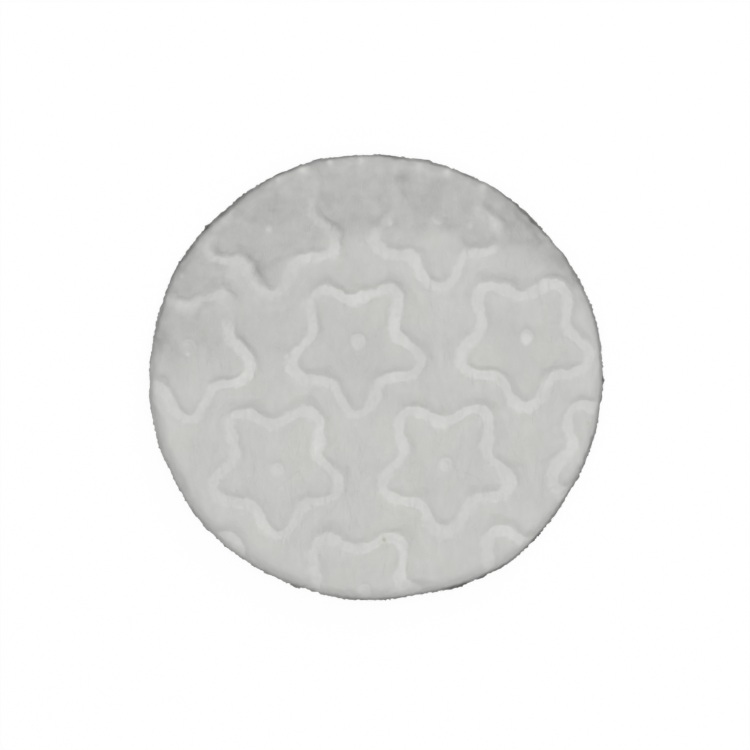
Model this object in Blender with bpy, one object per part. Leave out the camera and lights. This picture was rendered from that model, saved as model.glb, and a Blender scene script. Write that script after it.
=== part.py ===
# Round cotton pad: a soft disc of pressed cotton wool, with a rounded edge, a plain
# underside and rows of plain stars pressed into its upper face.
# Units are metres and +Z is up. The pad lies flat, with its underside at Z = 0.

import math

import bmesh
import bpy
from mathutils import Vector
from mathutils.geometry import delaunay_2d_cdt

# The disc. It was cut slightly oval.
PAD_LENGTH = 0.0577  # along X
PAD_WIDTH = 0.0567  # along Y
PAD_THICKNESS = 0.0048  # at the lips of the stars
FACE_CROWN = 0.0002  # how much the upper face falls from its middle to the shoulder
EDGE_HEIGHT = 0.0021  # where the disc is widest
SHOULDER_WIDTH = 0.0022  # rounding of the upper edge, measured inwards
UNDER_ROUNDING = 0.0013  # rounding of the lower edge, measured inwards

# One side of the pad is bent up a little from the surface that it lies on.
CURL_START = 0.0130  # distance of the bend from the middle, along Y
CURL_LENGTH = 0.0155  # from the bend to the far edge
CURL_RISE = 0.0012  # height that the far edge gains

# The pressed line of one star, as a wave round a circle.
STAR_ARMS = 5
STAR_TIP = 0.0085  # from the star's middle to the line at an arm's tip
STAR_NOTCH = 0.0057  # from the star's middle to the line between two arms
ARM_SLIMMING = 0.00009  # slims the arms and widens the notches

# The groove that the line leaves, and the cotton that swells beside it.
GROOVE_FLOOR = 0.0009
GROOVE_WIDTH = 0.0029  # between the lips
GROOVE_DEPTH = 0.00065
SWELL_REACH = 0.0034  # from the groove's middle to the top of the swelling
SWELL_RISE = 0.00022
GROOVE_RUNOUT = 0.0014  # distance from the widest line over which a groove fades
EDGE_NIP = 0.00020  # how far a groove draws in the pad's edge where it runs out

# The dot in the middle of each star.
DOT_FLOOR = 0.0010
DOT_WIDTH = 0.0024
DOT_DEPTH = 0.0005

# The stars stand in rows, each row half a step along from the next.
STAR_PITCH = 0.0213
ROW_PITCH = 0.0157
PATTERN_TURN = math.radians(1.45)
PATTERN_X = -0.0022  # the star nearest the middle of the pad
PATTERN_Y = 0.0044

# Fineness of the mesh.
PAD_STEPS = 200
SHOULDER_STEPS = 5
UNDER_STEPS = 3
STEPS_PER_ARM = 14
DOT_STEPS = 14
FILL_STEP = 0.0025  # between the vertices on the open cotton
FILL_CLEARANCE = 0.0008  # from those vertices to the loops of the pattern
RIM_CLEARANCE = 0.00026  # from the pattern's loops to the start of the shoulder
TIP_CROWDING = 0.45  # share by which a star's vertices gather at its tips and notches
MERGE_DISTANCE = 1e-7

COTTON_COLOUR = (0.585, 0.585, 0.570, 1.0)
COTTON_ROUGHNESS = 0.95


def clear_scene():
    for thing in list(bpy.data.objects):
        bpy.data.objects.remove(thing, do_unlink=True)


def cotton_material():
    material = bpy.data.materials.new("cotton")
    material.use_nodes = True
    shader = material.node_tree.nodes["Principled BSDF"]
    shader.inputs["Base Color"].default_value = COTTON_COLOUR
    shader.inputs["Roughness"].default_value = COTTON_ROUGHNESS
    shader.inputs["Metallic"].default_value = 0.0
    return material


def eased(share):
    """A smooth step from 0 to 1."""
    held = min(max(share, 0.0), 1.0)
    return held * held * (3.0 - 2.0 * held)


# Outline and section of the disc.


def pad_radius(angle):
    """Distance from the middle to the widest line of the edge, in one direction."""
    across = math.cos(angle) / (PAD_LENGTH / 2)
    along = math.sin(angle) / (PAD_WIDTH / 2)
    return 1.0 / math.hypot(across, along)


def inset_of(x, y):
    """How far a place lies in from the widest line of the edge."""
    return pad_radius(math.atan2(y, x)) - math.hypot(x, y)


def curl(y):
    """Height that the bend adds at this place."""
    travel = max(0.0, y - CURL_START) / CURL_LENGTH
    return CURL_RISE * travel * travel * (3.0 - travel) / 2.0


def shoulder_drop(inset):
    """How far the rounded upper edge has fallen, this far in from the widest line."""
    out = 1.0 - min(max(inset / SHOULDER_WIDTH, 0.0), 1.0)
    fall = PAD_THICKNESS - FACE_CROWN - EDGE_HEIGHT
    return fall * (1.0 - math.sqrt(1.0 - out * out))


# The pressed pattern.


def star_line(turn):
    """Radius of the pressed line, and its slope against a circle, at this turn."""
    swing = (STAR_TIP - STAR_NOTCH) / 2
    wave = STAR_ARMS * turn
    radius = (STAR_TIP + STAR_NOTCH) / 2 - ARM_SLIMMING
    radius += swing * math.cos(wave) + ARM_SLIMMING * math.cos(2.0 * wave)
    rate = -STAR_ARMS * (swing * math.sin(wave) + 2.0 * ARM_SLIMMING * math.sin(2.0 * wave))
    return radius, rate / radius


def star_middles():
    """Middles of the stars that reach the pad, row by row."""
    reach = max(PAD_LENGTH, PAD_WIDTH)
    rows = math.ceil(reach / ROW_PITCH)
    places = math.ceil(reach / STAR_PITCH)
    middles = []
    for row in range(-rows, rows + 1):
        for place in range(-places, places + 1):
            along = (place + 0.5 * (row % 2)) * STAR_PITCH
            up = row * ROW_PITCH
            x = PATTERN_X + along * math.cos(PATTERN_TURN) - up * math.sin(PATTERN_TURN)
            y = PATTERN_Y + along * math.sin(PATTERN_TURN) + up * math.cos(PATTERN_TURN)
            if inset_of(x, y) > -STAR_TIP - GROOVE_WIDTH:
                middles.append((x, y))
    return middles


def line_distance(x, y, middle):
    """Distance of a place from one star's line, and from its dot's middle."""
    off_x = x - middle[0]
    off_y = y - middle[1]
    reach = math.hypot(off_x, off_y)
    turn = math.atan2(off_y, off_x) + math.pi / 2 - PATTERN_TURN
    radius, slope = star_line(turn)
    return abs(reach - radius) / math.hypot(1.0, slope), reach


def nearest_distances(x, y, middles):
    """Distances of a place from the nearest star line and from the nearest dot."""
    pairs = [line_distance(x, y, middle) for middle in middles]
    return min(line for line, dot in pairs), min(dot for line, dot in pairs)


def pressed_depth(x, y, middles):
    """How deep the pattern lies under the face, or a negative depth where it swells."""
    line, dot = nearest_distances(x, y, middles)
    floor = GROOVE_FLOOR / 2
    lip = GROOVE_WIDTH / 2
    groove = GROOVE_DEPTH * (1.0 - eased((line - floor) / (lip - floor)))
    swell = SWELL_RISE * eased((line - floor) / (SWELL_REACH - floor))
    dot_lip = DOT_WIDTH / 2
    dimple = DOT_DEPTH * (1.0 - eased((dot - DOT_FLOOR / 2) / (dot_lip - DOT_FLOOR / 2)))
    return groove + dimple - swell


def face_height(x, y, middles):
    """Height of the finished upper face."""
    inset = inset_of(x, y)
    reach = math.hypot(x, y)
    crown = FACE_CROWN * (reach / (reach + inset)) ** 2
    pressing = pressed_depth(x, y, middles) * eased(inset / GROOVE_RUNOUT)
    return PAD_THICKNESS - crown - shoulder_drop(inset) - pressing + curl(y)


# Plan of the upper face: where its vertices stand, before they are raised.


def star_turns():
    """Places round the star, set closer at the tips and in the notches."""
    count = STAR_ARMS * STEPS_PER_ARM
    for step in range(count):
        even = 2.0 * math.pi * step / count
        yield even - TIP_CROWDING * math.sin(2.0 * STAR_ARMS * even) / (2.0 * STAR_ARMS)


def star_loop(middle, side):
    """A closed loop of places beside one star's line."""
    places = []
    for turn in star_turns():
        radius, slope = star_line(turn)
        reach = radius + side * math.hypot(1.0, slope)
        angle = turn - math.pi / 2 + PATTERN_TURN
        places.append((middle[0] + reach * math.cos(angle), middle[1] + reach * math.sin(angle)))
    return places


def round_loop(middle, radius, steps):
    """A closed loop of places round a middle."""
    places = []
    for step in range(steps):
        angle = 2.0 * math.pi * step / steps
        places.append((middle[0] + radius * math.cos(angle), middle[1] + radius * math.sin(angle)))
    return places


def edge_loop(inset, middles):
    """A closed loop round the pad, drawn in where a groove runs out over the edge."""
    places = []
    nip = EDGE_NIP * (1.0 - eased(inset / SHOULDER_WIDTH))
    for step in range(PAD_STEPS):
        angle = 2.0 * math.pi * step / PAD_STEPS
        reach = pad_radius(angle)
        x = reach * math.cos(angle)
        y = reach * math.sin(angle)
        depth = max(pressed_depth(x, y, middles), 0.0) / GROOVE_DEPTH
        share = (reach - inset - nip * depth) / reach
        places.append((x * share, y * share))
    return places


def pattern_loops(middles):
    """The loops that follow the grooves' floors, sides and lips, and the dots."""
    floor = GROOVE_FLOOR / 2
    lip = GROOVE_WIDTH / 2
    loops = []
    for middle in middles:
        for side in (-lip, -(floor + lip) / 2, -floor, floor, (floor + lip) / 2, lip):
            loops.append(star_loop(middle, side))
        for width in (DOT_FLOOR, (DOT_FLOOR + DOT_WIDTH) / 2, DOT_WIDTH):
            loops.append(round_loop(middle, width / 2, DOT_STEPS))
    return loops


def fill_places(middles):
    """An even spread of places on the swollen cotton between the loops."""
    rows = math.ceil(max(PAD_LENGTH, PAD_WIDTH) / FILL_STEP)
    places = []
    for row in range(-rows, rows + 1):
        for place in range(-rows, rows + 1):
            x = (place + 0.5 * (row % 2)) * FILL_STEP
            y = row * FILL_STEP * math.sqrt(0.75)
            line, dot = nearest_distances(x, y, middles)
            gaps = (inset_of(x, y) - SHOULDER_WIDTH, line - GROOVE_WIDTH / 2, dot - DOT_WIDTH / 2)
            if min(gaps) > FILL_CLEARANCE:
                places.append((x, y))
    return places


def face_plan(rim, middles):
    """Triangles that cover the face inside the rim and keep to every loop of it."""
    places = list(rim)
    edges = [(step, (step + 1) % len(rim)) for step in range(len(rim))]
    margin = SHOULDER_WIDTH + RIM_CLEARANCE
    for loop in pattern_loops(middles):
        numbers = []
        for x, y in loop:
            numbers.append(len(places) if inset_of(x, y) > margin else None)
            if numbers[-1] is not None:
                places.append((x, y))
        for first, second in zip(numbers, numbers[1:] + numbers[:1]):
            if first is not None and second is not None:
                edges.append((first, second))
    places += fill_places(middles)
    plan = delaunay_2d_cdt([Vector(place) for place in places], edges, [], 0, MERGE_DISTANCE)
    return plan[0], plan[2], plan[3]


# The solid.


def add_upper_face(bm, rim, middles):
    """Raises the plan of the upper face. Returns the vertices along its rim, in order."""
    places, triangles, sources = face_plan(rim, middles)
    verts = [bm.verts.new((x, y, face_height(x, y, middles))) for x, y in places]
    for triangle in triangles:
        bm.faces.new([verts[corner] for corner in triangle])
    rim_verts = [None] * len(rim)
    for vert, source in zip(verts, sources):
        for number in source:
            if number < len(rim):
                rim_verts[number] = vert
    return rim_verts


def add_loop(bm, places, height_at):
    return [bm.verts.new((x, y, height_at(x, y))) for x, y in places]


def bridge(bm, upper, lower):
    """Faces between two loops of the same length."""
    count = len(lower)
    for step in range(count):
        after = (step + 1) % count
        bm.faces.new((lower[step], lower[after], upper[after], upper[step]))


def add_shoulder(bm, upper, middles):
    """Loops from the upper face out to the widest line of the edge."""
    for step in range(1, SHOULDER_STEPS + 1):
        turn = 0.5 * math.pi * (1.0 - step / SHOULDER_STEPS)
        places = edge_loop(SHOULDER_WIDTH * (1.0 - math.cos(turn)), middles)
        lower = add_loop(bm, places, lambda x, y: face_height(x, y, middles))
        bridge(bm, upper, lower)
        upper = lower
    return upper


def add_under_edge(bm, upper, middles):
    """Loops from the widest line in to the underside."""
    for step in range(1, UNDER_STEPS + 1):
        turn = 0.5 * math.pi * step / UNDER_STEPS
        rise = EDGE_HEIGHT * (1.0 - math.sin(turn))
        places = edge_loop(UNDER_ROUNDING * (1.0 - math.cos(turn)), middles)
        lower = add_loop(bm, places, lambda x, y: rise + curl(y))
        bridge(bm, upper, lower)
        upper = lower
    return upper


def add_underside(bm, loop):
    """One flat face to rest on, and strips across the pad where it bends up."""
    flat = [vert for vert in loop if vert.co.y <= CURL_START]
    first = next(step for step, vert in enumerate(loop) if vert.co.y > CURL_START)
    bent = loop[first - 1 : first + len(loop) - len(flat) + 1]
    bm.faces.new(list(reversed(flat)))
    while len(bent) > 3:
        bm.faces.new((bent[0], bent[-1], bent[-2], bent[1]))
        bent = bent[1:-1]
    if len(bent) == 3:
        bm.faces.new((bent[0], bent[2], bent[1]))


def build_pad(material):
    middles = star_middles()
    bm = bmesh.new()
    rim = add_upper_face(bm, edge_loop(SHOULDER_WIDTH, middles), middles)
    widest = add_shoulder(bm, rim, middles)
    add_underside(bm, add_under_edge(bm, widest, middles))
    bmesh.ops.recalc_face_normals(bm, faces=bm.faces)
    mesh = bpy.data.meshes.new("cotton_pad")
    bm.to_mesh(mesh)
    bm.free()
    mesh.materials.append(material)
    mesh.shade_smooth()
    pad = bpy.data.objects.new("cotton_pad", mesh)
    bpy.context.scene.collection.objects.link(pad)
    return pad


clear_scene()
build_pad(cotton_material())
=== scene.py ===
# A round cotton pad, pressed from cotton wool, lying on a pale floor.
# Lengths are metres, +Z is up, and the pad's underside lies at Z = 0.

import math

import bpy
import numpy as np
from mathutils.bvhtree import BVHTree
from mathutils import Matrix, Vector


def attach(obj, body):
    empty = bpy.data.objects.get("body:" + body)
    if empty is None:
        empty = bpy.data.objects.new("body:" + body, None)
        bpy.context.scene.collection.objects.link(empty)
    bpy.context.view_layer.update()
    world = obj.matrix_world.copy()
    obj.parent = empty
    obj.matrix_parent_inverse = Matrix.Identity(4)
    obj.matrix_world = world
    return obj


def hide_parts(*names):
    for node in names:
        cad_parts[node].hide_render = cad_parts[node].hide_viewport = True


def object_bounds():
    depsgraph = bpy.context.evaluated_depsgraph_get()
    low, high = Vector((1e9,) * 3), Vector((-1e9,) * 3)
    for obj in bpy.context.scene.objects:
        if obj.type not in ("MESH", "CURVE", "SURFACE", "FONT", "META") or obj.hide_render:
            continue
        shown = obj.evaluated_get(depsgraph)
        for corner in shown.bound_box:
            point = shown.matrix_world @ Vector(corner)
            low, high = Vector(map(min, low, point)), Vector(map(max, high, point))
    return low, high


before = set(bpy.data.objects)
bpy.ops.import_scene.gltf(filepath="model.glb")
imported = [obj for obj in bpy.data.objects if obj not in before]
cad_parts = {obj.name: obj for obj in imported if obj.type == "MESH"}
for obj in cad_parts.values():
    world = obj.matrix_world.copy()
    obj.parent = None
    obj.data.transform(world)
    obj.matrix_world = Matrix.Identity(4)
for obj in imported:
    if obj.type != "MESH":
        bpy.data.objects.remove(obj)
cadLow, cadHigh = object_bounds()
print("frame: the pad is", [round(1000 * side, 1) for side in cadHigh - cadLow], "mm")


# The disc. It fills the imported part's outline, and its stars lie where that part has them.
pad = {
    "halfLength": (cadHigh.x - cadLow.x) / 2,  # along X
    "halfWidth": (cadHigh.y - cadLow.y) / 2,  # along Y
    "trim": 0.00007,  # the loose fibres take up this much of both
    "uneven": (  # the cut isn't quite oval: waves round it, cosine part, sine part
        (1, 0.00000, -0.00008),
        (2, 0.00000, -0.00010),
        (3, 0.00004, -0.00005),
        (4, -0.00007, 0.00007),
        (5, 0.00002, 0.00006),
        (6, 0.00005, 0.00004),
        (7, 0.00006, 0.00001),
        (9, -0.00004, -0.00005),
        (10, -0.00002, 0.00003),
    ),
    "thickness": 0.0048,  # at the lips of the stars
    "crown": 0.0002,
    "edgeHeight": 0.0021,  # where the disc is widest
    "shoulder": 0.0026,  # rounding of the upper edge, measured inwards
    "fullness": 2.6,  # of that rounding, where 2 is an ellipse
    "underRounding": 0.0013,
    "curlStart": 0.0130,  # beyond this, along Y, the pad bends up
    "curlLength": 0.0155,
    "curlRise": 0.0012,
}

stars = {
    "arms": 5,
    "tip": 0.00842,  # from a star's middle to the line at an arm's tip
    "notch": 0.00562,  # the same at a notch between two arms
    "slimming": 0.00009,  # draws in the flanks between them
    "pitch": 0.0213,  # from star to star along a row
    "rowPitch": 0.0157,
    "turn": math.radians(1.45),  # of the whole pattern
    "x": -0.0022,  # the star nearest the middle of the pad
    "y": 0.0044,
    "depth": 0.00034,  # of the groove's floor under the swollen cotton
    "floor": 0.0011,  # width of the groove's floor
    "gentleTo": 0.0028,  # its gentle lip ends here, measured from the groove's middle
    "steepFrom": 0.00068,  # its steep lip starts here
    "steepest": 0.00034,  # and is steepest this much further out
    "steepSide": math.radians(62),  # the web was dragged this way: lips on that side are steep
    "innerShare": 0.75,  # how steep they are inside a star, as a share
    "top": 0.00016,  # height of the swollen cotton above the disc's thickness
    "runout": 0.0014,  # distance from the rim over which a groove fades
    "nip": 0.00010,  # how far a groove draws the rim in
    "wander": 0.00019,  # how far a line strays
    "wanderSize": 0.0026,  # over which length
    "wanderFine": 0.8,  # the same at a third of the size, as a share
    "waver": 0.28,  # how unevenly wide a groove is, as a share
    "waverSize": 0.0021,
    "waverFine": 0.4,  # the same at 0.4 of the size, as a share
    "dotFloor": 0.0009,  # width of a dot's floor
    "dotSteepTo": 0.00085,  # its lips end here, measured from its middle
    "dotGentleTo": 0.0014,
    "dotDepth": 0.00016,
    "drifts": (  # how far the lines were dragged off the dots: X, Y, then along X and Y
        (-0.0014, -0.0270, -0.00065, -0.00050),
        (-0.0124, -0.0116, -0.00012, -0.00008),
        (0.0088, -0.0110, -0.00006, -0.00034),
        (-0.0235, 0.0039, -0.00025, -0.00078),
        (-0.0022, 0.0044, -0.00036, -0.00054),
        (0.0191, 0.0049, -0.00034, -0.00055),
        (-0.0132, 0.0198, -0.00001, -0.00099),
        (0.0080, 0.0204, -0.00019, -0.00076),
    ),
    "driftReach": 0.0070,  # how far from its star each of these counts
    "driftHold": 0.02,  # keeps the lines still where none of these is near
}


tiny = 1e-9  # keeps a division from failing


def eased(share):
    held = np.clip(share, 0.0, 1.0)
    return held * held * (3.0 - 2.0 * held)


def padRadius(angle):
    reach = 1.0 / np.hypot(np.cos(angle) / pad["halfLength"], np.sin(angle) / pad["halfWidth"])
    for waves, cosine, sine in pad["uneven"]:
        reach = reach + cosine * np.cos(waves * angle) + sine * np.sin(waves * angle)
    return reach - pad["trim"]


def insetOf(x, y):  # how far a place lies in from the rim
    return padRadius(np.arctan2(y, x)) - np.hypot(x, y)


def curlAt(y):
    travel = np.maximum(0.0, y - pad["curlStart"]) / pad["curlLength"]
    return pad["curlRise"] * travel * travel * (3.0 - travel) / 2.0


def shoulderDrop(inset):
    out = 1.0 - np.clip(inset / pad["shoulder"], 0.0, 1.0)
    fall = pad["thickness"] - pad["crown"] - pad["edgeHeight"]
    return fall * (1.0 - (1.0 - out ** pad["fullness"]) ** (1.0 / pad["fullness"]))


def cloud(points, size, seed):
    # Smooth random values of about -1 to 1, which change over this size.
    cells = 48  # they repeat after this many
    lattice = np.random.default_rng(seed).uniform(-1.0, 1.0, (cells, cells, cells))
    place = points / size
    first = np.floor(place).astype(int)
    part = eased(place - first)
    total = np.zeros(len(points))
    for corner in range(8):
        step = np.array([corner & 1, corner >> 1 & 1, corner >> 2 & 1])
        weight = np.prod(np.where(step == 1, part, 1.0 - part), axis=1)
        near = (first + step) % cells
        total += weight * lattice[near[:, 0], near[:, 1], near[:, 2]]
    return total


def flatPoints(x, y):
    return np.stack([np.ravel(x), np.ravel(y), np.zeros(np.size(x))], axis=1)


def starMiddles():
    rows = math.ceil(2 * pad["halfLength"] / stars["rowPitch"])
    places = math.ceil(2 * pad["halfLength"] / stars["pitch"])
    across, up = math.cos(stars["turn"]), math.sin(stars["turn"])
    middles = []
    for row in range(-rows, rows + 1):
        for place in range(-places, places + 1):
            along = (place + 0.5 * (row % 2)) * stars["pitch"]
            rise = row * stars["rowPitch"]
            x = stars["x"] + along * across - rise * up
            y = stars["y"] + along * up + rise * across
            if insetOf(x, y) > -stars["tip"] - stars["gentleTo"]:
                middles.append((x, y))
    return middles


def wandered(x, y):  # the soft web never holds a line quite true
    flat = flatPoints(x, y)
    fine = stars["wanderFine"] * stars["wander"]
    moves = []
    for seed in (41, 43):
        wave = stars["wander"] * cloud(flat, stars["wanderSize"], seed)
        wave += fine * cloud(flat, stars["wanderSize"] / 3, seed + 1)
        moves.append(wave.reshape(np.shape(x)))
    return x + moves[0], y + moves[1]


def driftAt(x, y):
    total = np.zeros(3)
    for placeX, placeY, alongX, alongY in stars["drifts"]:
        near = math.exp(-((x - placeX) ** 2 + (y - placeY) ** 2) / stars["driftReach"] ** 2)
        total += np.array([alongX, alongY, 1.0]) * near
    return total[:2] / (total[2] + stars["driftHold"])


def waverAt(x, y):
    flat = flatPoints(x, y)
    wave = cloud(flat, stars["waverSize"], 45)
    wave += stars["waverFine"] * cloud(flat, 0.4 * stars["waverSize"], 46)
    return 1.0 + stars["waver"] * wave.reshape(np.shape(x))


def patternAt(x, y):
    # The signed distance from the nearest star's line and how steep its lip is on this side, then
    # the distance from the nearest dot's middle and the same for its lip.
    swing = (stars["tip"] - stars["notch"]) / 2
    level = (stars["tip"] + stars["notch"]) / 2 - stars["slimming"]
    line, dot = np.full(np.shape(x), 1.0), np.full(np.shape(x), 1.0)
    lip, dotLip = np.zeros(np.shape(x)), np.zeros(np.shape(x))
    waver = waverAt(x, y)
    x, y = wandered(x, y)
    for middleX, middleY in starMiddles():
        driftX, driftY = driftAt(middleX, middleY)
        reach = np.hypot(x - middleX - driftX, y - middleY - driftY)
        angle = np.arctan2(y - middleY - driftY, x - middleX - driftX)
        wave = (angle + math.pi / 2 - stars["turn"]) * stars["arms"]
        radius = level + swing * np.cos(wave) + stars["slimming"] * np.cos(2 * wave)
        slope = swing * np.sin(wave) + 2 * stars["slimming"] * np.sin(2 * wave)
        rate = -stars["arms"] * slope / radius
        offset = (reach - radius) / np.hypot(1.0, rate)
        outward = np.cos(angle - np.arctan(rate) - stars["steepSide"])
        steep = np.where(offset > 0, outward, -stars["innerShare"] * outward)
        lip = np.where(np.abs(offset) < np.abs(line), np.maximum(steep, 0.0), lip)
        line = np.where(np.abs(offset) < np.abs(line), offset, line)
        reach = np.hypot(x - middleX, y - middleY)
        angle = np.arctan2(y - middleY, x - middleX)
        dotLip = np.where(reach < dot, np.maximum(np.cos(angle - stars["steepSide"]), 0.0), dotLip)
        dot = np.minimum(dot, reach)
    return line * waver, lip, dot, dotLip


def pressedDepth(line, lip, dot, dotLip):  # how deep a place lies under the swollen cotton
    up = np.maximum(np.abs(line) - stars["steepFrom"], 0.0) / stars["steepest"]
    steep = 1.0 - (1.0 + up) * np.exp(-up)
    away = np.abs(line) - stars["floor"] / 2
    gentle = 1.0 - (1.0 - np.clip(away / (stars["gentleTo"] - stars["floor"] / 2), 0.0, 1.0)) ** 2
    groove = stars["depth"] * (1.0 - lip * steep - (1.0 - lip) * gentle)
    away = dot - stars["dotFloor"] / 2
    steep = eased(away / (stars["dotSteepTo"] - stars["dotFloor"] / 2))
    gentle = eased(away / (stars["dotGentleTo"] - stars["dotFloor"] / 2))
    return groove + stars["dotDepth"] * (1.0 - dotLip * steep - (1.0 - dotLip) * gentle)


# The high Y side of the face has gone soft and a little darker, the darkening partly painted
# shade, and the pressing is blurred there.
worn = {
    "from": (  # it starts at this line: X, Y
        (-0.0285, 0.0100),
        (-0.0205, 0.0104),
        (-0.0175, 0.0155),
        (-0.0143, 0.0115),
        (-0.0105, 0.0152),
        (-0.0022, 0.0179),
        (0.0030, 0.0172),
        (0.0085, 0.0180),
        (0.0140, 0.0168),
        (0.0190, 0.0160),
        (0.0285, 0.0100),
    ),
    "blend": 0.0030,  # the change takes this long
    "wander": 0.0009,  # how far its line strays
    "wanderSize": 0.003,
    "patches": (  # soft, darker spots elsewhere, partly painted shade, most of all along the upper right rim: X, Y, radius, share
        (-0.0252, 0.0065, 0.0050, 1.15),
        (-0.0272, 0.0045, 0.0015, 0.70),
        (-0.0150, 0.0070, 0.0070, 0.45),
        (-0.0022, 0.0044, 0.0050, 0.42),
        (0.0035, -0.0016, 0.0035, 0.15),
        (-0.0030, 0.0140, 0.0050, 0.25),
        (0.0190, 0.0150, 0.0035, 0.35),
        (0.0187, 0.0040, 0.0045, 0.38),
        (-0.0243, 0.0138, 0.0020, 0.55),
        (-0.0226, 0.0120, 0.0026, -0.35),
        (-0.0205, 0.0035, 0.0030, 0.22),
        (0.0219, -0.0098, 0.0030, 0.12),
        (-0.0152, 0.0136, 0.0014, 0.70),
        (-0.0139, 0.0215, 0.0018, 0.50),
        (-0.0044, 0.0225, 0.0025, 0.30),
        (0.0032, 0.0250, 0.0012, 1.10),
        (0.0076, 0.0228, 0.0026, 0.55),
        (0.0082, 0.0165, 0.0022, -0.35),
        (0.0147, 0.0235, 0.0012, 0.80),
        (0.0171, 0.0218, 0.0014, 1.30),
        (0.0192, 0.0199, 0.0015, 1.30),
        (0.0212, 0.0178, 0.0013, 1.20),
        (0.0232, 0.0151, 0.0012, 0.90),
        (0.0247, 0.0126, 0.0015, 1.30),
        (0.0259, 0.0099, 0.0012, 0.80),
    ),
    "dull": (  # the same, where the pressed cotton is no lighter than the rest
        (-0.0255, 0.0105, 0.0030, 0.50),
        (-0.0216, 0.0102, 0.0028, 0.45),
        (-0.0150, 0.0150, 0.0055, 0.45),
        (-0.0236, 0.0038, 0.0020, 0.92),
        (-0.0132, 0.0202, 0.0018, 0.90),
        (0.0085, 0.0200, 0.0050, 0.30),
        (-0.0085, 0.0100, 0.0030, 0.30),
        (-0.0065, 0.0195, 0.0030, 0.45),
        (0.0010, 0.0190, 0.0022, 0.55),
        (0.0140, 0.0209, 0.0017, 0.40),
        (0.0015, 0.0100, 0.0035, 0.22),
        (0.0110, 0.0025, 0.0028, 0.20),
        (-0.0024, 0.0043, 0.0012, 0.30),
        (0.0053, -0.0266, 0.0013, 0.80),
    ),
    "faded": (  # the same, where the pressing was weak
        (-0.0176, 0.0082, 0.0026, 0.95),
        (-0.0111, 0.0129, 0.0016, 0.80),
        (-0.0056, 0.0174, 0.0014, 0.70),
        (-0.0215, 0.0180, 0.0026, 1.00),
        (0.0226, 0.0190, 0.0024, 1.00),
        (0.0165, 0.0176, 0.0018, 0.90),
        (-0.0132, 0.0199, 0.0016, 0.75),
        (-0.0236, 0.0038, 0.0014, 0.60),
        (0.0048, 0.0034, 0.0018, 0.30),
    ),
    "creases": (  # X and Y of both ends, half width, depth
        (0.0188, 0.0202, 0.0224, 0.0165, 0.00035, 0.00022),
        (0.0029, 0.0266, 0.0034, 0.0230, 0.00045, 0.00016),
        (-0.0137, 0.0209, -0.0120, 0.0209, 0.00030, 0.00012),
        (-0.0030, 0.0148, -0.0008, 0.0152, 0.00030, 0.00006),
    ),
    "pressed": (0.85, 1.30),  # share of the relief, from the low Y side to where the blur starts
    "blurFrom": 0.0172,  # along Y
    "blurBlend": 0.0060,
    "blur": 0.80,  # share of the relief that is lost beyond that
    "lumpSize": 0.0017,
    "lumpRise": 0.00016,
    "lumpFine": 0.5,  # the same at half the size, as a share
}


def spots(table, x, y):  # sum of round spots that fade outwards
    total = np.zeros(np.shape(x))
    for spotX, spotY, radius, share in table:
        total = total + share * np.exp(-((x - spotX) ** 2 + (y - spotY) ** 2) / radius**2)
    return total


def creaseAt(x, y):
    depth = np.zeros(np.shape(x))
    for startX, startY, endX, endY, half, deep in worn["creases"]:
        runX, runY = endX - startX, endY - startY
        along = ((x - startX) * runX + (y - startY) * runY) / (runX**2 + runY**2)
        held = np.clip(along, 0.0, 1.0)
        off = np.hypot(x - startX - held * runX, y - startY - held * runY) / half
        depth = depth + deep * np.exp(-off * off)
    return depth


def wornAt(x, y):  # how soft the face is here, which also sets its painted shade, and how much of its relief is left
    startX, startY = np.array(worn["from"]).T
    wander = worn["wander"] * cloud(flatPoints(x, y), worn["wanderSize"], 11).reshape(np.shape(x))
    soft = eased(0.5 + (y + wander - np.interp(x, startX, startY)) / worn["blend"])
    soft = np.maximum(soft + spots(worn["patches"], x + wander, y - wander), 0.0)
    low, high = worn["pressed"]
    relief = low + (high - low) * eased(0.5 + 0.5 * y / worn["blurFrom"])
    lost = eased((y + 2 * wander - worn["blurFrom"]) / worn["blurBlend"])
    relief = relief * (1.0 - worn["blur"] * lost)
    return soft, relief * np.maximum(1.0 - spots(worn["faded"], x + wander, y + wander), 0.0)


def faceHeight(x, y, inset=None):
    inset = insetOf(x, y) if inset is None else inset
    reach = np.hypot(x, y)
    crown = pad["crown"] * (reach / np.maximum(reach + inset, tiny)) ** 2
    pressing = pressedDepth(*patternAt(x, y)) * wornAt(x, y)[1] - stars["top"]
    pressing = pressing * eased(inset / stars["runout"]) + creaseAt(x, y)
    return pad["thickness"] - crown - shoulderDrop(inset) - pressing + curlAt(y)


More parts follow.
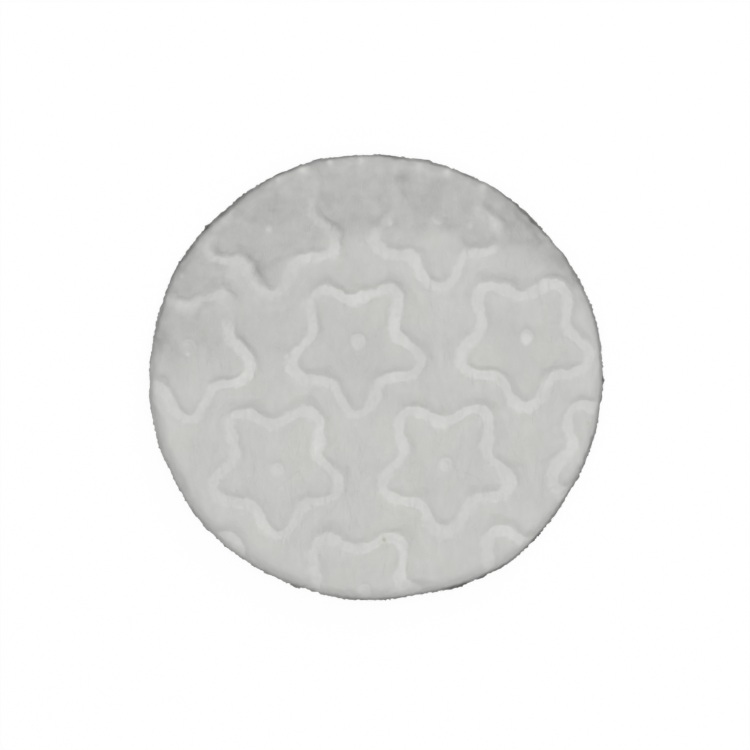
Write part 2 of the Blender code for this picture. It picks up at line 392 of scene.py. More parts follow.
# The disc's mesh is a square grid drawn into a round, with rings of quads round the edge.
disc = {
    "faceSteps": 240,
    "shoulderRings": 18,
    "shoulderPoints": 300,  # the shoulder's curve is measured at this many places
    "underRings": 12,
    "underSteps": (0.0006, 0.0018),  # insets over which the underside's mesh gets coarser
    "puffSteps": 96,  # quads across the simulated sheet
    "puffScale": 20.0,  # the simulation runs on an enlarged copy
    "puffFrames": 20,
    "puffMost": 0.00012,  # the cotton swells no more than this
    "cloth": {  # by Blender's own names
        "quality": 5,
        "mass": 0.3,
        "tension_stiffness": 15.0,
        "compression_stiffness": 15.0,
        "bending_stiffness": 0.5,
        "air_damping": 5.0,
        "use_pressure": True,
        "uniform_pressure_force": 4.0,
    },
    "faceTilt": 0.2,  # the face is where a normal rises more than this
    "markTilt": 0.1,  # and its marks reach down to this
    "fluffSize": 0.0012,  # clumps all over the disc
    "fluffRise": 0.000016,
    "fineSize": 0.0005,
    "fineRise": 0.000008,
    "rimSize": 0.0013,  # clumps round the edge
    "rimRise": 0.00003,
    "rimFineSize": 0.00050,
    "rimFineRise": 0.00006,
    "layerFlattening": 3.0,  # of those, which lie in layers
    "toothSize": 0.00026,  # the ragged line where the cutter went through
    "toothRise": 0.00023,
    "toothHalf": 0.00045,
    "tufts": (  # small lumps of loose cotton: X, Y, radius, height
        (-0.0092, 0.0262, 0.0006, 0.00016),
        (-0.0019, 0.0273, 0.0006, 0.00018),
        (-0.0057, 0.0270, 0.0004, 0.00012),
        (0.0053, 0.0268, 0.0007, 0.00014),
        (0.0090, 0.0258, 0.0005, 0.00014),
        (0.0137, 0.0243, 0.0006, 0.00010),
        (-0.0123, 0.0248, 0.0004, 0.00010),
        (0.0119, 0.0190, 0.0004, 0.00010),
        (0.0018, 0.0195, 0.0004, 0.00008),
        (-0.0135, 0.0186, 0.0004, 0.00010),
        (-0.0245, 0.0128, 0.0003, 0.00010),
        (-0.0237, 0.0028, 0.0003, 0.00014),
        (-0.0239, 0.0039, 0.0004, 0.00004),
        (-0.0019, -0.0266, 0.0006, 0.00005),
        (-0.0124, -0.0117, 0.0007, 0.00006),
    ),
    "spurs": (  # the same at the cut edge
        (-0.0216, 0.0191, 0.0005, 0.00028),
        (-0.0078, 0.0277, 0.0005, 0.00018),
        (0.0290, -0.0004, 0.0004, 0.00030),
        (-0.0101, -0.0266, 0.0006, 0.00028),
        (0.0105, -0.0265, 0.0010, 0.00016),
    ),
    "footFade": 0.4,  # power of the relief with which the painted shade at a steep lip's foot fades
    "foldGain": 4.0,  # how soon the painted shade of a fold shows where the face gets soft
    "gentleBlur": 0.35,  # how much the light bands blur at their edges
    "dullBlur": 1.4,  # where they are dull
    "softBlur": 0.4,  # where the face is soft
    "lipCrisp": 0.85,  # share of that blur which a steep lip takes away
    "tuftHighlightGain": 5500.0,  # how much painted highlight a tuft gets, by its height
    "edgeShade": (  # round the edge in degrees: how much painted shade the cut edge has there, and how far in
        (0, 0.40, 0.00062),
        (45, 0.45, 0.00056),
        (90, 0.46, 0.00060),
        (135, 0.60, 0.00090),
        (180, 0.00, 0.00050),
        (225, 0.10, 0.00050),
        (270, 0.33, 0.00050),
        (315, 0.52, 0.00050),
        (360, 0.40, 0.00062),
    ),
    "shadeFull": 0.00008,  # it is full this far in
    "greyBelow": 0.0016,  # it fades out this far below the widest place
    "shadeWander": 0.00010,  # how ragged its inner line is
    "shadeSize": 0.0006,
    "shadeFlattening": 0.5,
    "edgeShadowUp": 0.0006,  # the marks lie this far above the widest place
    "edgeShadowHalf": 0.0006,
    "edgeShadowTilt": (0.8, 0.5),  # they start where a normal rises this much, full this much lower
    "edgeShadow": (  # painted shadow marks on the cut edge: X, Y, radius, share
        (0.0098, -0.0268, 0.0011, 0.90),
        (0.0112, -0.0262, 0.0008, 0.90),
        (0.0135, -0.0252, 0.0012, 0.85),
        (0.0160, -0.0236, 0.0009, 0.60),
        (0.0204, -0.0200, 0.0008, 0.60),
        (0.0289, -0.0003, 0.0005, 0.90),
        (0.0277, 0.0079, 0.0009, 0.35),
        (0.0240, 0.0156, 0.0014, 0.35),
        (0.0176, 0.0225, 0.0010, 0.30),
        (-0.0177, 0.0226, 0.0006, 0.30),
        (-0.0215, 0.0190, 0.0006, 0.80),
        (-0.0244, 0.0150, 0.0007, 0.40),
        (-0.0265, -0.0112, 0.0006, 0.40),
        (-0.0231, -0.0171, 0.0006, 0.40),
        (-0.0135, -0.0252, 0.0006, 0.40),
        (-0.0103, -0.0266, 0.0007, 0.70),
        (-0.0015, -0.0285, 0.0006, 0.45),
    ),
    "flecks": (  # specks of seed husk: X, Y, radius, share
        (0.0011, -0.0205, 0.00024, 0.90),
        (-0.0217, 0.0058, 0.00018, 0.50),
        (0.0269, -0.0058, 0.00018, 0.50),
    ),
}


def roundGrid(steps):
    line = np.linspace(-1.0, 1.0, steps + 1)
    u, v = np.meshgrid(line, line, indexing="ij")
    wide = np.abs(u) >= np.abs(v)
    reach = np.where(wide, u, v)
    turn = np.where(wide, v, u) / np.where(reach == 0, 1.0, reach) * math.pi / 4
    x = reach * np.where(wide, np.cos(turn), np.sin(turn))
    y = reach * np.where(wide, np.sin(turn), np.cos(turn))
    return x.ravel(), y.ravel()


def roundPlaces(steps, inset):  # the grid drawn into the outline, this far in from it
    unitX, unitY = roundGrid(steps)
    angle = np.arctan2(unitY, unitX)
    reach = np.hypot(unitX, unitY) * (padRadius(angle) - inset)
    return reach * np.cos(angle), reach * np.sin(angle), angle


def gridQuads(steps):
    i, j = np.meshgrid(np.arange(steps), np.arange(steps), indexing="ij")
    corner = (i * (steps + 1) + j).ravel()
    quads = np.stack([corner, corner + steps + 1, corner + steps + 2, corner + 1], axis=1)
    crossing = ((2 * i < steps) != (2 * j < steps)).ravel()
    quads[crossing] = np.roll(quads[crossing], 1, axis=1)  # each quad is split along its radius
    return quads


def gridBorder(steps):  # the border's vertex numbers, anticlockwise seen from above
    side = np.arange(steps)
    right = steps * (steps + 1) + side
    top = (steps - side) * (steps + 1) + steps
    return np.concatenate([right, top, steps - side, side * (steps + 1)])


def ringQuads(upper, lower):
    return np.stack([lower, np.roll(lower, -1), np.roll(upper, -1), upper], axis=1)


def narrowingFaces(ring, border):  # joins a ring to a border with half as many vertices
    even, odd, after = ring[0::2], ring[1::2], np.roll(ring[0::2], -1)
    follow = np.roll(border, -1)
    fans = [(border, odd, even), (border, follow, odd), (follow, after, odd)]
    return np.concatenate([np.stack(fan, axis=1) for fan in fans])


def shoulderInsets(count):  # evenly spaced along the rounded upper edge, from its top to the rim
    turn = np.linspace(0.0, math.pi / 2, disc["shoulderPoints"])
    power = 2.0 / pad["fullness"]
    out = np.sin(turn) ** power
    down = (1.0 - np.cos(turn) ** power) * (pad["thickness"] - pad["crown"] - pad["edgeHeight"])
    strides = np.hypot(np.diff(out * pad["shoulder"]), np.diff(down))
    along = np.concatenate([[0.0], np.cumsum(strides)])
    return pad["shoulder"] * (1.0 - np.interp(np.linspace(0.0, along[-1], count + 1), along, out))


def edgePlaces(angle, inset, below=0.0):
    # A ring's places, drawn in where a groove runs out over the edge.
    reach = padRadius(angle)
    share = pressedDepth(*patternAt(reach * np.cos(angle), reach * np.sin(angle))) / stars["depth"]
    drawn = stars["nip"] * (1.0 - eased(inset / pad["shoulder"]))
    drawn = drawn * (1.0 - eased(2.0 * below)) * share
    reach = reach - inset - drawn
    return reach * np.cos(angle), reach * np.sin(angle)


def meshObject(name, points, faces):
    mesh = bpy.data.meshes.new(name)
    mesh.from_pydata(np.asarray(points).tolist(), [], [list(map(int, face)) for face in faces])
    mesh.update()
    mesh.shade_smooth()
    made = bpy.data.objects.new(name, mesh)
    bpy.context.scene.collection.objects.link(made)
    return made


def meshPoints(mesh, kind="co"):
    values = np.zeros(3 * len(mesh.vertices), np.float32)
    mesh.vertices.foreach_get(kind, values)
    return values.reshape(-1, 3).astype(float)


def simulatedPuff():
    # The cotton between the pressed lines swells, as a sheet that is held along them.
    steps, scale = disc["puffSteps"], disc["puffScale"]
    x, y, _ = roundPlaces(steps, pad["shoulder"])
    start = np.stack([x, y, faceHeight(x, y)], axis=1) * scale
    sheet = meshObject("puffSheet", start, gridQuads(steps))
    line, _, dot, _ = patternAt(x, y)
    held = (np.abs(line) < stars["steepFrom"] + stars["steepest"]) | (dot < stars["dotSteepTo"])
    held[gridBorder(steps)] = True
    pins = sheet.vertex_groups.new(name="pins")
    pins.add([int(number) for number in np.flatnonzero(held)], 1.0, "REPLACE")
    cloth = sheet.modifiers.new("swell", "CLOTH")
    for name, value in disc["cloth"].items():
        setattr(cloth.settings, name, value)
    cloth.settings.vertex_group_mass = pins.name
    cloth.settings.effector_weights.gravity = 0.0
    cloth.collision_settings.use_collision = False
    scene = bpy.context.scene
    for number in range(1, disc["puffFrames"] + 1):
        scene.frame_set(number)
    swollen = sheet.evaluated_get(bpy.context.evaluated_depsgraph_get())
    lift = (meshPoints(swollen.data)[:, 2] - start[:, 2]) / scale
    scene.frame_set(1)
    mesh = sheet.data
    bpy.data.objects.remove(sheet)
    bpy.data.meshes.remove(mesh)
    print("cloth: lift from", round(1e3 * lift.min(), 3), "to", round(1e3 * lift.max(), 3), "mm")
    lift = disc["puffMost"] * np.tanh(np.maximum(lift, 0.0) / disc["puffMost"])
    return lift.reshape(steps + 1, steps + 1)


def onFinerGrid(values, steps):  # reads a coarse grid's values at a finer grid's vertices
    coarse = np.linspace(-1.0, 1.0, len(values))
    fine = np.linspace(-1.0, 1.0, steps + 1)
    across = np.array([np.interp(fine, coarse, row) for row in values])
    return np.array([np.interp(fine, coarse, column) for column in across.T]).T.ravel()


def discPoints(puff):
    steps = disc["faceSteps"]
    x, y, angle = roundPlaces(steps, pad["shoulder"])
    blocks = [np.stack([x, y, faceHeight(x, y) + puff], axis=1)]
    faces = [gridQuads(steps)]
    upper = gridBorder(steps)
    turns = angle[upper]
    count = len(x)
    rings = []
    for inset in shoulderInsets(disc["shoulderRings"])[1:]:
        x, y = edgePlaces(turns, inset)
        rings.append((x, y, faceHeight(x, y, inset)))
    for turn in np.linspace(0.0, math.pi / 2, disc["underRings"] + 1)[1:]:
        inset = pad["underRounding"] * (1.0 - math.cos(turn))
        x, y = edgePlaces(turns, inset, turn / (math.pi / 2))
        rings.append((x, y, pad["edgeHeight"] * (1.0 - math.sin(turn)) + curlAt(y)))
    for ring in rings:
        blocks.append(np.stack(ring, axis=1))
        lower = count + np.arange(len(turns))
        faces.append(ringQuads(upper, lower))
        upper, count = lower, count + len(turns)
    x, y = edgePlaces(turns[0::2], pad["underRounding"] + disc["underSteps"][0], 1.0)
    blocks.append(np.stack([x, y, curlAt(y)], axis=1))
    lower = count + np.arange(len(x))
    faces.append(narrowingFaces(upper, lower))
    upper, count = lower, count + len(x)
    coarse = steps // 4  # each of the two narrowings halves the ring
    x, y, _ = roundPlaces(coarse, pad["underRounding"] + disc["underSteps"][1])
    blocks.append(np.stack([x, y, curlAt(y)], axis=1))
    faces.append(narrowingFaces(upper, count + gridBorder(coarse)))
    faces.append(count + gridQuads(coarse)[:, [0, 3, 2, 1]])
    return np.concatenate(blocks), [face for block in faces for face in block]


def roughen(points, normals):
    # Clumps of fibres, stronger and flattened into layers round the cut edge.
    x, y, z = points.T
    inset = insetOf(x, y)
    rim = 1.0 - eased(inset / pad["shoulder"])
    layered = points * (1.0, 1.0, disc["layerFlattening"])
    rise = disc["fluffRise"] * cloud(points, disc["fluffSize"], 21)
    rise += disc["fineRise"] * cloud(points, disc["fineSize"], 22)
    rise += rim * disc["rimRise"] * cloud(layered, disc["rimSize"], 23)
    rise += rim * disc["rimFineRise"] * cloud(layered, disc["rimFineSize"], 24)
    away = (z - curlAt(y) - pad["edgeHeight"]) / disc["toothHalf"]
    cut = np.exp(-away * away) * (inset < disc["toothHalf"])
    rise += disc["toothRise"] * cloud(points, disc["toothSize"], 27) * cut
    face = normals[:, 2] > disc["faceTilt"]
    soft = wornAt(x, y)[0] * face
    rise += soft * worn["lumpRise"] * cloud(points, worn["lumpSize"], 25)
    rise += soft * worn["lumpFine"] * worn["lumpRise"] * cloud(points, worn["lumpSize"] / 2, 26)
    rise += spots(disc["tufts"], x, y) * face
    rise += spots(disc["spurs"], x, y) * cut
    moved = points + normals * rise[:, None]
    moved[:, 2] = np.maximum(moved[:, 2], curlAt(moved[:, 1]) * (normals[:, 2] < 0))
    return moved


def keep(mesh, name, values):  # stores values that the materials read
    layer = mesh.attributes.new(name, "FLOAT", "POINT")
    layer.data.foreach_set("value", np.asarray(values, np.float32))


def keepPressing(mesh, x, y, above):  # what the light bands, their edges, the dots and the painted shade beside them are drawn by
    line, lip, dot, dotLip = patternAt(x, y)
    soft, relief = wornAt(x, y)
    shown = above * eased(insetOf(x, y) / stars["runout"])
    dulled = np.clip(1.0 - spots(worn["dull"], x, y), 0.0, 1.0)
    faint = disc["gentleBlur"] + disc["dullBlur"] * (1.0 - dulled) + disc["softBlur"] * soft
    keep(mesh, "lineOffset", 1000.0 * np.abs(line))  # millimetres
    keep(mesh, "dotReach", 1000.0 * dot)
    keep(mesh, "dotLip", np.minimum(relief, 1.0) * dotLip * shown)
    keep(mesh, "light", np.minimum(relief, 1.0) * dulled * shown)
    keep(mesh, "steepLip", relief ** disc["footFade"] * lip * shown)
    keep(mesh, "foldShade", np.clip(soft * relief * disc["foldGain"], 0.0, 1.0) * lip * shown)
    keep(mesh, "blur", np.clip(faint * (1.0 - disc["lipCrisp"] * lip), 0.0, 1.0))
    keep(mesh, "soft", soft * above)
    keep(mesh, "tuftHighlight", disc["tuftHighlightGain"] * spots(disc["tufts"], x, y) * above)
    keep(mesh, "fleck", spots(disc["flecks"], x, y) * above)


def keepEdge(mesh, points, facing):  # painted shade on the cut edge, and painted shadow marks on it
    x, y, z = points.T
    up = z - curlAt(y) - pad["edgeHeight"]
    direction, grey, reach = np.array(disc["edgeShade"]).T
    bearing = np.degrees(np.arctan2(y, x)) % 360
    across = np.interp(bearing, direction, reach)
    ragged = cloud(points * (1.0, 1.0, disc["shadeFlattening"]), disc["shadeSize"], 28)
    inner = across - insetOf(x, y) + disc["shadeWander"] * ragged
    wallShade = eased(inner / (across - disc["shadeFull"]))
    wallShade = np.where(up < 0.0, eased(1.0 + up / disc["greyBelow"]) * wallShade, wallShade)
    keep(mesh, "wallShade", wallShade * np.interp(bearing, direction, grey))
    most, less = disc["edgeShadowTilt"]
    lifted = (up - disc["edgeShadowUp"]) / disc["edgeShadowHalf"]
    edgeShadowMask = spots(disc["edgeShadow"], x, y) * eased((most - facing) / less)
    keep(mesh, "edgeShadow", edgeShadowMask * np.exp(-lifted * lifted))


def makeDisc():
    puff = simulatedPuff()
    points, faces = discPoints(onFinerGrid(puff, disc["faceSteps"]))
    made = meshObject("cottonDisc", points, faces)
    moved = roughen(points, meshPoints(made.data, "normal"))
    made.data.vertices.foreach_set("co", moved.astype(np.float32).ravel())
    made.data.update()
    facing = meshPoints(made.data, "normal")[:, 2]
    keepPressing(made.data, points[:, 0], points[:, 1], facing > disc["markTilt"])
    keepEdge(made.data, points, facing)
    print("disc:", len(points), "points,", len(faces), "faces")
    return made


# Shader maths is written as expressions on sockets.
class Wire:
    def __init__(self, finish, socket):
        self.finish = finish
        self.socket = socket

    def maths(self, operation, *values):
        return self.finish.node("Math", {"operation": operation}, dict(enumerate(values)))

    def __add__(self, other):
        return self.maths("ADD", self, other)

    def __radd__(self, other):
        return self.maths("ADD", other, self)

    def __sub__(self, other):
        return self.maths("SUBTRACT", self, other)

    def __rsub__(self, other):
        return self.maths("SUBTRACT", other, self)

    def __mul__(self, other):
        return self.maths("MULTIPLY", self, other)

    def __rmul__(self, other):
        return self.maths("MULTIPLY", other, self)


class Finish:  # the nodes of a material or of the world
    def __init__(self, owner, shader="Principled BSDF"):
        owner.use_nodes = True
        self.owner = owner
        self.tree = owner.node_tree
        self.shader = self.tree.nodes[shader]

    def node(self, kind, settings=None, values=None, output=0):
        made = self.tree.nodes.new("ShaderNode" + kind)
        for name, value in (settings or {}).items():
            setattr(made, name, value)
        for name, value in (values or {}).items():
            self.feed(made.inputs[name], value)
        return Wire(self, made.outputs[output])

    def feed(self, socket, value):
        if isinstance(value, Wire):
            self.tree.links.new(value.socket, socket)
        else:
            socket.default_value = value

    def give(self, values):  # to the shader's own sockets
        for name, value in values.items():
            self.feed(self.shader.inputs[name], value)

    def attribute(self, name):
        return self.node("Attribute", {"attribute_name": name}, output="Fac")

    def millimetres(self):
        place = self.node("TexCoord", output="Object")
        return self.node("VectorMath", {"operation": "SCALE"}, {"Vector": place, "Scale": 1000.0})

    def noise(self, place, scale, detail=2.0, stretch=(1.0, 1.0, 1.0), turn=0.0):
        around = {"Vector": place, "Scale": stretch, "Rotation": (0.0, 0.0, turn)}
        moved = self.node("Mapping", {"vector_type": "TEXTURE"}, around)
        return self.node("TexNoise", None, {"Vector": moved, "Scale": scale, "Detail": detail})

    def step(self, value, start, end, low=0.0, high=1.0):
        # Smooth, from low at start to high at end.
        span = {"Value": value, "From Min": start, "From Max": end, "To Min": low, "To Max": high}
        return self.node("MapRange", {"interpolation_type": "SMOOTHSTEP"}, span)

    def ridge(self, value, near, middle, far):
        # 1 in the middle, and nothing before near or past far.
        return self.step(value, near, middle) * self.step(value, middle, far, 1.0, 0.0)

    def mix(self, share, first, second):
        return self.node("Mix", {"data_type": "RGBA"}, {0: share, 6: first, 7: second}, 2)


# A noise has its scale, detail and stretch, a step its start and end, then its low and high value,
# and a ridge its near side, middle and far side, in millimetres from a line or a dot's middle.
cotton = {
    "open": (0.583, 0.587, 0.572, 1.0),
    "warm": (0.593, 0.593, 0.572, 1.0),
    "pressed": (0.640, 0.643, 0.627, 1.0),  # the cotton in the grooves is denser and lighter
    "bright": (0.680, 0.682, 0.664, 1.0),
    # darker colour of the soft face: partly softer cotton, partly painted shade
    "soft": (0.512, 0.516, 0.500, 1.0),
    # painted shade, where the soft spots run past 1, mostly near the rim
    "deep": (0.425, 0.429, 0.415, 1.0),
    # painted highlight on the raised tufts
    "tuftHighlight": (0.660, 0.662, 0.640, 1.0),
    "fleck": (0.470, 0.460, 0.270, 1.0),
    # painted shadow on the cut edge
    "edgeShadow": (0.110, 0.110, 0.100, 1.0),
    "toneNoise": (0.16, 3.0),
    "warmStep": (0.35, 0.75),
    "brightStep": (0.45, 0.70),
    "mottle": 0.050,  # how far the tone wanders, as a share
    "cloudNoise": (0.25, 4.0),
    "streakNoise": (1.1, 4.0, (1.0, 2.2, 1.0)),
    "lumpNoise": (0.62, 2.0),
    "lumpStep": (0.2, 1.0),  # over the softness
    "lumps": 2.4,  # how much they count
    "layerNoise": (0.9, 4.0, (4.0, 4.0, 0.5)),  # the painted shade on the cut edge is broken into layers
    "layerStep": (0.3, 0.7, 0.6, 1.3),
    "bandHalf": 0.66,  # millimetres from the line to the edge of the light band
    "bandNoise": (1.3, 3.0),
    "bandWobble": 0.65,
    "softNarrow": 0.20,  # how much narrower a band is on each side where the face is soft
    "softStep": (0.2, 1.1),
    "patchNoise": (1.6, 3.0),
    "patchStep": (0.3, 0.7, 0.80, 1.20),  # how much of the light colour there is along a band
    "lipWidth": 0.20,
    "lipBlur": 0.90,
    "blurNoise": (0.4, 1.0),
    "blurStep": (0.35, 0.65, 0.4, 1.6),
    "footShade": 0.06,
    "foot": (0.60, 0.93, 2.20),  # the ridge of shade at the foot of a steep lip
    "foldShade": (0.92, 1.08, 1.36),  # the same, as painted shade at the fold of a blurred lip
    "foldNoise": (0.3, 1.0),
    "foldStep": (0.42, 0.55, 0.0, 0.085),
    "dotHalf": 0.97,
    "dotEdge": 0.15,
    "dotWobble": 0.12,
    "dotBlur": 0.20,  # on the gentle side of a dot
    "dotShare": 1.05,  # of the light colour
    # the ridge of painted shade on the steep side of a dot
    "dotFoot": (0.90, 1.06, 1.60),
    "strandNoise": (2.0, (0.3, 2.2, 0.4)),  # without its scale
    "strands": ((-0.45, 2.6), (0.06, 3.2), (0.55, 2.2)),  # their turns from Y, and their scales
    "strandRise": 0.0035,
    "bumpDistance": 0.001,
    "roughness": 0.95,
    "sheen": 0.05,
    "subsurface": 0.25,
    "subsurfaceRadius": 0.0009,
}


def lineMarks(finish, place):  # the light bands and dots, and the shade beside them
    wobble = finish.noise(place, *cotton["bandNoise"]) - 0.5
    line = finish.attribute("lineOffset") + cotton["bandWobble"] * wobble
    uneven = finish.step(finish.noise(place, *cotton["blurNoise"]), *cotton["blurStep"])
    blur = finish.attribute("blur") * uneven
    spread = 0.5 * cotton["lipWidth"] + 0.5 * cotton["lipBlur"] * blur
    full, slim = cotton["bandHalf"], cotton["bandHalf"] - cotton["softNarrow"]
    half = finish.step(finish.attribute("soft"), *cotton["softStep"], full, slim)
    band = finish.step(line, half - spread, half + spread, 1.0, 0.0)
    patches = finish.step(finish.noise(place, *cotton["patchNoise"]), *cotton["patchStep"])
    dot = finish.attribute("dotReach") + cotton["dotWobble"] * wobble
    dotLip = finish.attribute("dotLip")
    gentle = cotton["dotBlur"] * (1.0 - dotLip)
    inner = cotton["dotHalf"] - cotton["dotEdge"]
    spot = finish.step(dot, inner - gentle, cotton["dotHalf"] + gentle, 1.0, 0.0)
    light = (band * patches + cotton["dotShare"] * spot) * finish.attribute("light")
    # painted shade at the foot of steep lips, beside dots and along blurred folds
    foot = finish.ridge(line, *cotton["foot"]) * finish.attribute("steepLip")
    foot = cotton["footShade"] * (foot + finish.ridge(dot, *cotton["dotFoot"]) * dotLip)
    broken = finish.step(finish.noise(place, *cotton["foldNoise"]), *cotton["foldStep"])
    foldShade = finish.ridge(line, *cotton["foldShade"]) * broken * finish.attribute("foldShade")
    return light, foot + foldShade


def strandHeight(finish, place):  # fibres lie mostly along Y, crossing each other
    total = None
    for turn, scale in cotton["strands"]:
        streak = finish.noise(place, scale, *cotton["strandNoise"], turn)
        total = streak if total is None else total + streak
    return total


def mottled(finish, place, soft):
    # Faint clouds, streaks along Y and, where the face is soft, lumps of tone, partly painted
    # shade of the lumpy relief.
    clouds = finish.noise(place, *cotton["cloudNoise"])
    clouds = clouds + finish.noise(place, *cotton["streakNoise"])
    lumps = finish.noise(place, *cotton["lumpNoise"]) - 0.5
    lumps = cotton["lumps"] * lumps * finish.step(soft, *cotton["lumpStep"])
    return 1.0 + 2.0 * cotton["mottle"] * (clouds - 1.0 + lumps)


def cottonFinish():
    finish = Finish(bpy.data.materials.new("cottonWool"))
    place = finish.millimetres()
    light, shade = lineMarks(finish, place)
    soft = finish.attribute("soft")
    tone = finish.noise(place, *cotton["toneNoise"])
    colour = finish.mix(finish.step(tone, *cotton["warmStep"]), cotton["open"], cotton["warm"])
    # Darker where the face is soft: partly softer cotton, partly painted shade.
    colour = finish.mix(soft, colour, cotton["soft"])
    # painted shade where the soft spots run past 1, mostly near the rim
    colour = finish.mix(soft - 1.0, colour, cotton["deep"])
    bright = finish.step(tone, *cotton["brightStep"])
    colour = finish.mix(light, colour, finish.mix(bright, cotton["pressed"], cotton["bright"]))
    # tufts get a painted highlight and the cut edge painted shadow marks; flecks are specks of
    # husk
    for mark in ("tuftHighlight", "fleck", "edgeShadow"):
        colour = finish.mix(finish.attribute(mark), colour, cotton[mark])
    layers = finish.step(finish.noise(place, *cotton["layerNoise"]), *cotton["layerStep"])
    # painted shade on the cut edge, broken into layers
    shade = shade + finish.attribute("wallShade") * layers
    level = {"Vector": colour, "Scale": mottled(finish, place, soft) * (1.0 - shade)}
    height = cotton["strandRise"] * strandHeight(finish, place)
    bump = {"Strength": 1.0, "Distance": cotton["bumpDistance"], "Height": height}
    finish.give({
        "Base Color": finish.node("VectorMath", {"operation": "SCALE"}, level),
        "Normal": finish.node("Bump", None, bump),
        "Roughness": cotton["roughness"],
        "Sheen Weight": cotton["sheen"],
        "Subsurface Weight": cotton["subsurface"],
        "Subsurface Radius": (1.0, 1.0, 1.0),
        "Subsurface Scale": cotton["subsurfaceRadius"],
    })
    return finish.owner


# Loose fibres: fine three-sided tubes.
strands = {
    "faceCount": 1500,
    "facePoints": 9,
    "faceLength": (0.003, 0.008),
    "faceLean": 0.45,  # spread of their direction about Y
    "faceBend": 0.16,  # the same from one step to the next
    "faceInset": 0.0009,  # they keep this far from the rim
    "edgeCount": 1300,
    "edgePoints": 7,
    "edgeLength": (0.0003, 0.0008),
    "edgeHeight": (0.0006, 0.0036),
    "edgeLean": (0.75, 1.35),  # how far they lie down along the edge
    "edgeArch": 0.35,
    "edgeClimb": 0.15,
    "rooted": 0.00008,
    "radius": (0.000006, 0.000010),
    "endShare": 0.4,  # of the radius, at a fibre's ends
    "lift": (0.000000, 0.000014),
    "castUp": 0.02,  # rays to the disc start this high
    "castOut": 0.04,  # or this far out
    "light": (0.700, 0.702, 0.685, 1.0),
    "dull": (0.630, 0.632, 0.616, 1.0),
    "toneScale": 0.5,
    "roughness": 0.8,
}


def tubes(name, paths, radii):
    count, points = paths.shape[:2]
    along = np.gradient(paths, axis=1)
    along /= np.linalg.norm(along, axis=2, keepdims=True)
    side = np.cross(along, (0.0, 0.0, 1.0)) + (tiny, 0.0, 0.0)
    side /= np.linalg.norm(side, axis=2, keepdims=True)
    rise = np.cross(side, along)
    taper = np.ones(points)
    taper[0] = taper[-1] = strands["endShare"]
    wide = (radii[:, None] * taper)[:, :, None]
    corners = []
    for corner in range(3):
        turn = 2.0 * math.pi * corner / 3
        corners.append(paths + wide * (math.cos(turn) * side + math.sin(turn) * rise))
    verts = np.stack(corners, axis=2).reshape(-1, 3)
    first = 3 * (np.arange(count)[:, None] * points + np.arange(points - 1)).ravel()
    faces = []
    for corner in range(3):
        here, after = first + corner, first + (corner + 1) % 3
        faces += np.stack([here, after, after + 3, here + 3], axis=1).tolist()
    starts = 3 * points * np.arange(count)
    ends = starts + 3 * (points - 1)
    faces += np.stack([starts + 2, starts + 1, starts], axis=1).tolist()
    faces += np.stack([ends, ends + 1, ends + 2], axis=1).tolist()
    return meshObject(name, verts, faces)


def wanderingPaths(dice, start, heading, length, points, bend):
    # Each path turns a little at every step.
    turns = np.cumsum(dice.normal(0.0, bend, (len(start), points - 1)), axis=1)
    turns += heading[:, None]
    stride = (length / (points - 1))[:, None]
    steps = np.stack([stride * np.cos(turns), stride * np.sin(turns)], axis=2)
    gone = np.concatenate([np.zeros((len(start), 1, 2)), np.cumsum(steps, axis=1)], axis=1)
    return start[:, None, :] + gone


def makeFaceFibres(body):
    dice = np.random.default_rng(31)
    count = strands["faceCount"]
    angle = dice.uniform(0.0, 2.0 * math.pi, count)
    reach = np.sqrt(dice.uniform(0.0, 1.0, count)) * (padRadius(angle) - strands["faceInset"])
    start = np.stack([reach * np.cos(angle), reach * np.sin(angle)], axis=1)
    heading = math.pi / 2 + dice.normal(0.0, strands["faceLean"], count)
    length = dice.uniform(*strands["faceLength"], count)
    steps, bend = strands["facePoints"], strands["faceBend"]
    paths = wanderingPaths(dice, start, heading, length, steps, bend)
    inside = (insetOf(paths[:, :, 0], paths[:, :, 1]) > strands["faceInset"]).all(axis=1)
    paths = paths[inside]
    tree = BVHTree.FromObject(body, bpy.context.evaluated_depsgraph_get())
    lift = dice.uniform(*strands["lift"], paths.shape[:2])
    heights = np.zeros(paths.shape[:2])
    for index in np.ndindex(*heights.shape):
        x, y = paths[index]
        heights[index] = tree.ray_cast((x, y, strands["castUp"]), (0.0, 0.0, -1.0))[0].z
    whole = np.concatenate([paths, (heights + lift)[:, :, None]], axis=2)
    made = tubes("faceFibres", whole, dice.uniform(*strands["radius"], len(whole)))
    print("face fibres:", len(whole))
    return made


def makeEdgeFibres(body):
    dice = np.random.default_rng(32)
    count, points = strands["edgeCount"], strands["edgePoints"]
    angle = dice.uniform(0.0, 2.0 * math.pi, count)
    height = dice.uniform(*strands["edgeHeight"], count)
    tree = BVHTree.FromObject(body, bpy.context.evaluated_depsgraph_get())
    paths = []
    for turn, rise, length in zip(angle, height, dice.uniform(*strands["edgeLength"], count)):
        outward = np.array([math.cos(turn), math.sin(turn), 0.0])
        rise += curlAt(pad["halfWidth"] * math.sin(turn))
        origin = outward * strands["castOut"] + (0.0, 0.0, rise)
        hit = tree.ray_cast(origin.tolist(), (-outward).tolist())[0]
        sideways = np.array([-math.sin(turn), math.cos(turn), 0.0]) * dice.choice((-1.0, 1.0))
        lean = dice.uniform(*strands["edgeLean"])
        bow = math.cos(lean) * outward + math.sin(lean) * sideways
        share = np.linspace(0.0, 1.0, points)[:, None]
        climb = np.array([0.0, 0.0, dice.normal(0.0, strands["edgeClimb"])])
        arch = strands["edgeArch"] * length * outward * share * share
        root = np.array(hit) - strands["rooted"] * outward
        paths.append(root + length * share * (bow + climb) - arch)
    made = tubes("edgeFibres", np.array(paths), dice.uniform(*strands["radius"], count))
    print("edge fibres:", count)
    return made


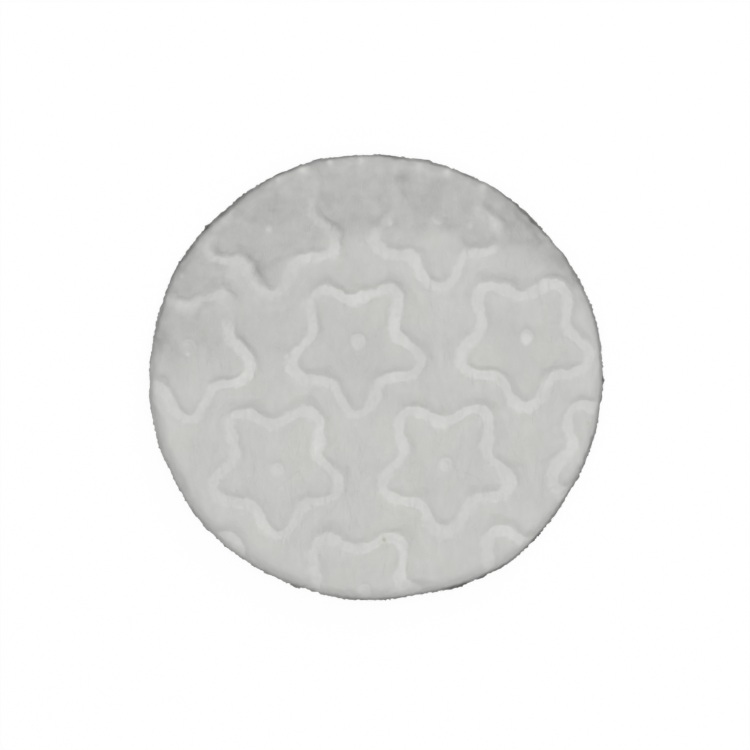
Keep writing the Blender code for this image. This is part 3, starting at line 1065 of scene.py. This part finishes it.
def fibreFinish():
    finish = Finish(bpy.data.materials.new("cottonFibre"))
    tone = finish.noise(finish.millimetres(), strands["toneScale"])
    colour = finish.mix(tone, strands["dull"], strands["light"])
    finish.give({"Base Color": colour, "Roughness": strands["roughness"]})
    return finish.owner


# The floor shows white and keeps a faint shadow.
floor = {
    "size": 3.0,
    "colour": (1.0, 1.0, 1.0, 1.0),
    "bounce": (0.50, 0.50, 0.50, 1.0),  # what it sends back to the pad
    "whiteShare": 0.93,
}


def seenRay(finish):  # 1 where the background itself is seen, directly or in a gloss
    names = ("Is Camera Ray", "Is Glossy Ray", "Is Transmission Ray")
    direct, glossy, through = [finish.node("LightPath", output=name) for name in names]
    return direct.maths("MINIMUM", direct + glossy + through, 1.0)


def makeFloor():
    half = floor["size"] / 2
    corners = [(-half, -half, 0.0), (half, -half, 0.0), (half, half, 0.0), (-half, half, 0.0)]
    made = meshObject("floor", corners, [(0, 1, 2, 3)])
    finish = Finish(bpy.data.materials.new("paleFloor"))
    seen = seenRay(finish)
    colour = finish.mix(seen, floor["bounce"], floor["colour"])
    matte = finish.node("BsdfDiffuse", None, {"Color": colour})
    white = finish.node("Emission", None, {"Color": (1.0, 1.0, 1.0, 1.0), "Strength": 1.0})
    mixed = finish.node("MixShader", None, {0: seen * floor["whiteShare"], 1: matte, 2: white})
    finish.feed(finish.tree.nodes["Material Output"].inputs["Surface"], mixed)
    made.data.materials.append(finish.owner)


lights = {
    "overheadSize": 0.9,
    "overheadHeight": 1.0,
    "overheadPower": 7.0,
    "keySize": 0.30,
    "keyFar": 0.9,
    "keyAzimuth": math.radians(62),
    "keyElevation": math.radians(40),
    "keyPower": 1.3,
    "world": 0.28,
}


def makeLight(name, size, power, place):
    lamp = bpy.data.lights.new(name, "AREA")
    lamp.shape = "DISK"
    lamp.size = size
    lamp.energy = power
    made = bpy.data.objects.new(name, lamp)
    made.location = place
    made.rotation_euler = (-made.location).to_track_quat("-Z", "Y").to_euler()
    bpy.context.scene.collection.objects.link(made)


def makeLights():
    above = (0.0, 0.0, lights["overheadHeight"])
    makeLight("overhead", lights["overheadSize"], lights["overheadPower"], above)
    flat = lights["keyFar"] * math.cos(lights["keyElevation"])
    place = (
        flat * math.cos(lights["keyAzimuth"]),
        flat * math.sin(lights["keyAzimuth"]),
        lights["keyFar"] * math.sin(lights["keyElevation"]),
    )
    makeLight("key", lights["keySize"], lights["keyPower"], place)


def makeWorld():
    finish = Finish(bpy.data.worlds.new("softWorld"), "Background")
    strength = lights["world"] + (1.0 - lights["world"]) * seenRay(finish)
    finish.give({"Color": (1.0, 1.0, 1.0, 1.0), "Strength": strength})
    bpy.context.scene.world = finish.owner


camera = {
    "lens": 200.0,
    "sensor": 36.0,
    "clip": (0.01, 20.0),
    "frameWidth": 0.09508,  # at the height of the pad's rim
    "x": -0.00004,
    "y": 0.00027,
}


def makeCamera():
    data = bpy.data.cameras.new("camera")
    data.lens = camera["lens"]
    data.sensor_width = camera["sensor"]
    data.clip_start, data.clip_end = camera["clip"]
    made = bpy.data.objects.new("camera", data)
    far = camera["frameWidth"] * camera["lens"] / camera["sensor"]
    made.location = (camera["x"], camera["y"], pad["edgeHeight"] + far)
    bpy.context.scene.collection.objects.link(made)
    bpy.context.scene.camera = made


cottonDisc = makeDisc()
cottonDisc.data.materials.append(cottonFinish())
faceFibres = makeFaceFibres(cottonDisc)
edgeFibres = makeEdgeFibres(cottonDisc)
fibreLook = fibreFinish()
for piece in (faceFibres, edgeFibres):
    piece.data.materials.append(fibreLook)
for piece in (cottonDisc, faceFibres, edgeFibres):
    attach(piece, "root")
    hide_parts("cotton_pad")

makeFloor()
makeLights()
makeWorld()
makeCamera()
bpy.context.scene.view_settings.view_transform = "Standard"
